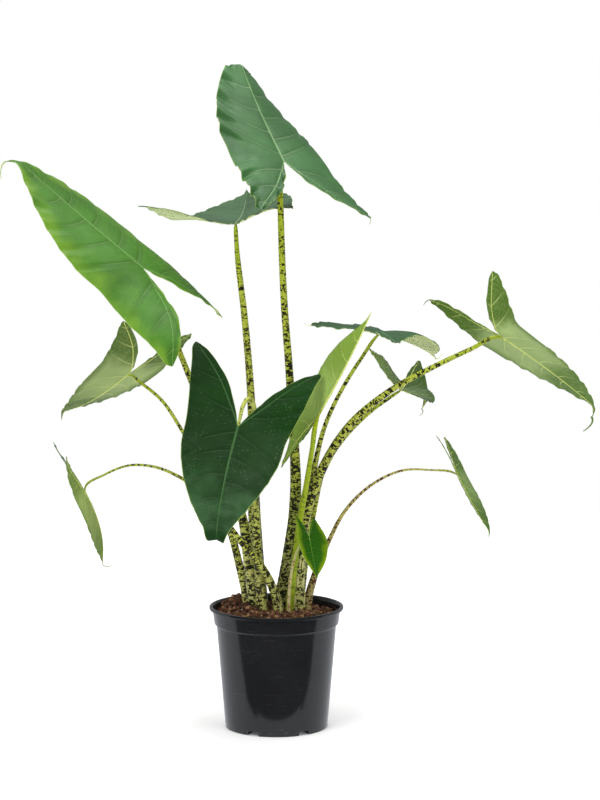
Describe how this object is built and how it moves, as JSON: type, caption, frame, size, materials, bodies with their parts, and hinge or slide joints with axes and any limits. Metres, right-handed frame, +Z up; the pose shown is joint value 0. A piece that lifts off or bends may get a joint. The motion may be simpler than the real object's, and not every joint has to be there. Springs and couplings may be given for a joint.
{
  "type": "potted alocasia",
  "caption": "Alocasia with arrow-shaped leaves on tall zebra-banded petioles, growing from soil in a round tapered nursery pot.",
  "frame": {"origin": "centre of the pot's underside, on the ground", "axes": "+Z up along the pot axis; +X to the viewer's right and -Y towards the viewer in the usual front view"},
  "size_m": [0.9114, 0.748, 1.0339],
  "materials": {
    "pot_plastic": "satin charcoal moulded plastic",
    "soil": "loose moist peat and bark",
    "rhizome": "rough fibrous skin",
    "petiole": "smooth, yellow-green with black-brown zebra bands",
    "blade_dark": "waxy dark green with paler veins",
    "blade_mid": "waxy mid green with paler veins",
    "blade_bright": "waxy bright green with paler veins"
  },
  "bodies": {
    "root": {"pot": "pot_plastic", "soil": "soil", "rhizome": "rhizome", "petiole_01": "petiole", "petiole_02": "petiole", "petiole_03": "petiole", "petiole_04": "petiole", "petiole_05": "petiole", "petiole_06": "petiole", "petiole_07": "petiole", "petiole_08": "petiole", "petiole_09": "petiole", "petiole_10": "petiole", "petiole_11": "petiole", "petiole_12": "petiole", "blade_01": "blade_mid", "blade_02": "blade_dark", "blade_03": "blade_bright", "blade_04": "blade_mid", "blade_05": "blade_mid", "blade_06": "blade_dark", "blade_07": "blade_bright", "blade_08": "blade_dark", "blade_09": "blade_mid", "blade_10": "blade_mid", "blade_11": "blade_mid", "blade_12": "blade_bright"}
  },
  "joints": []
}
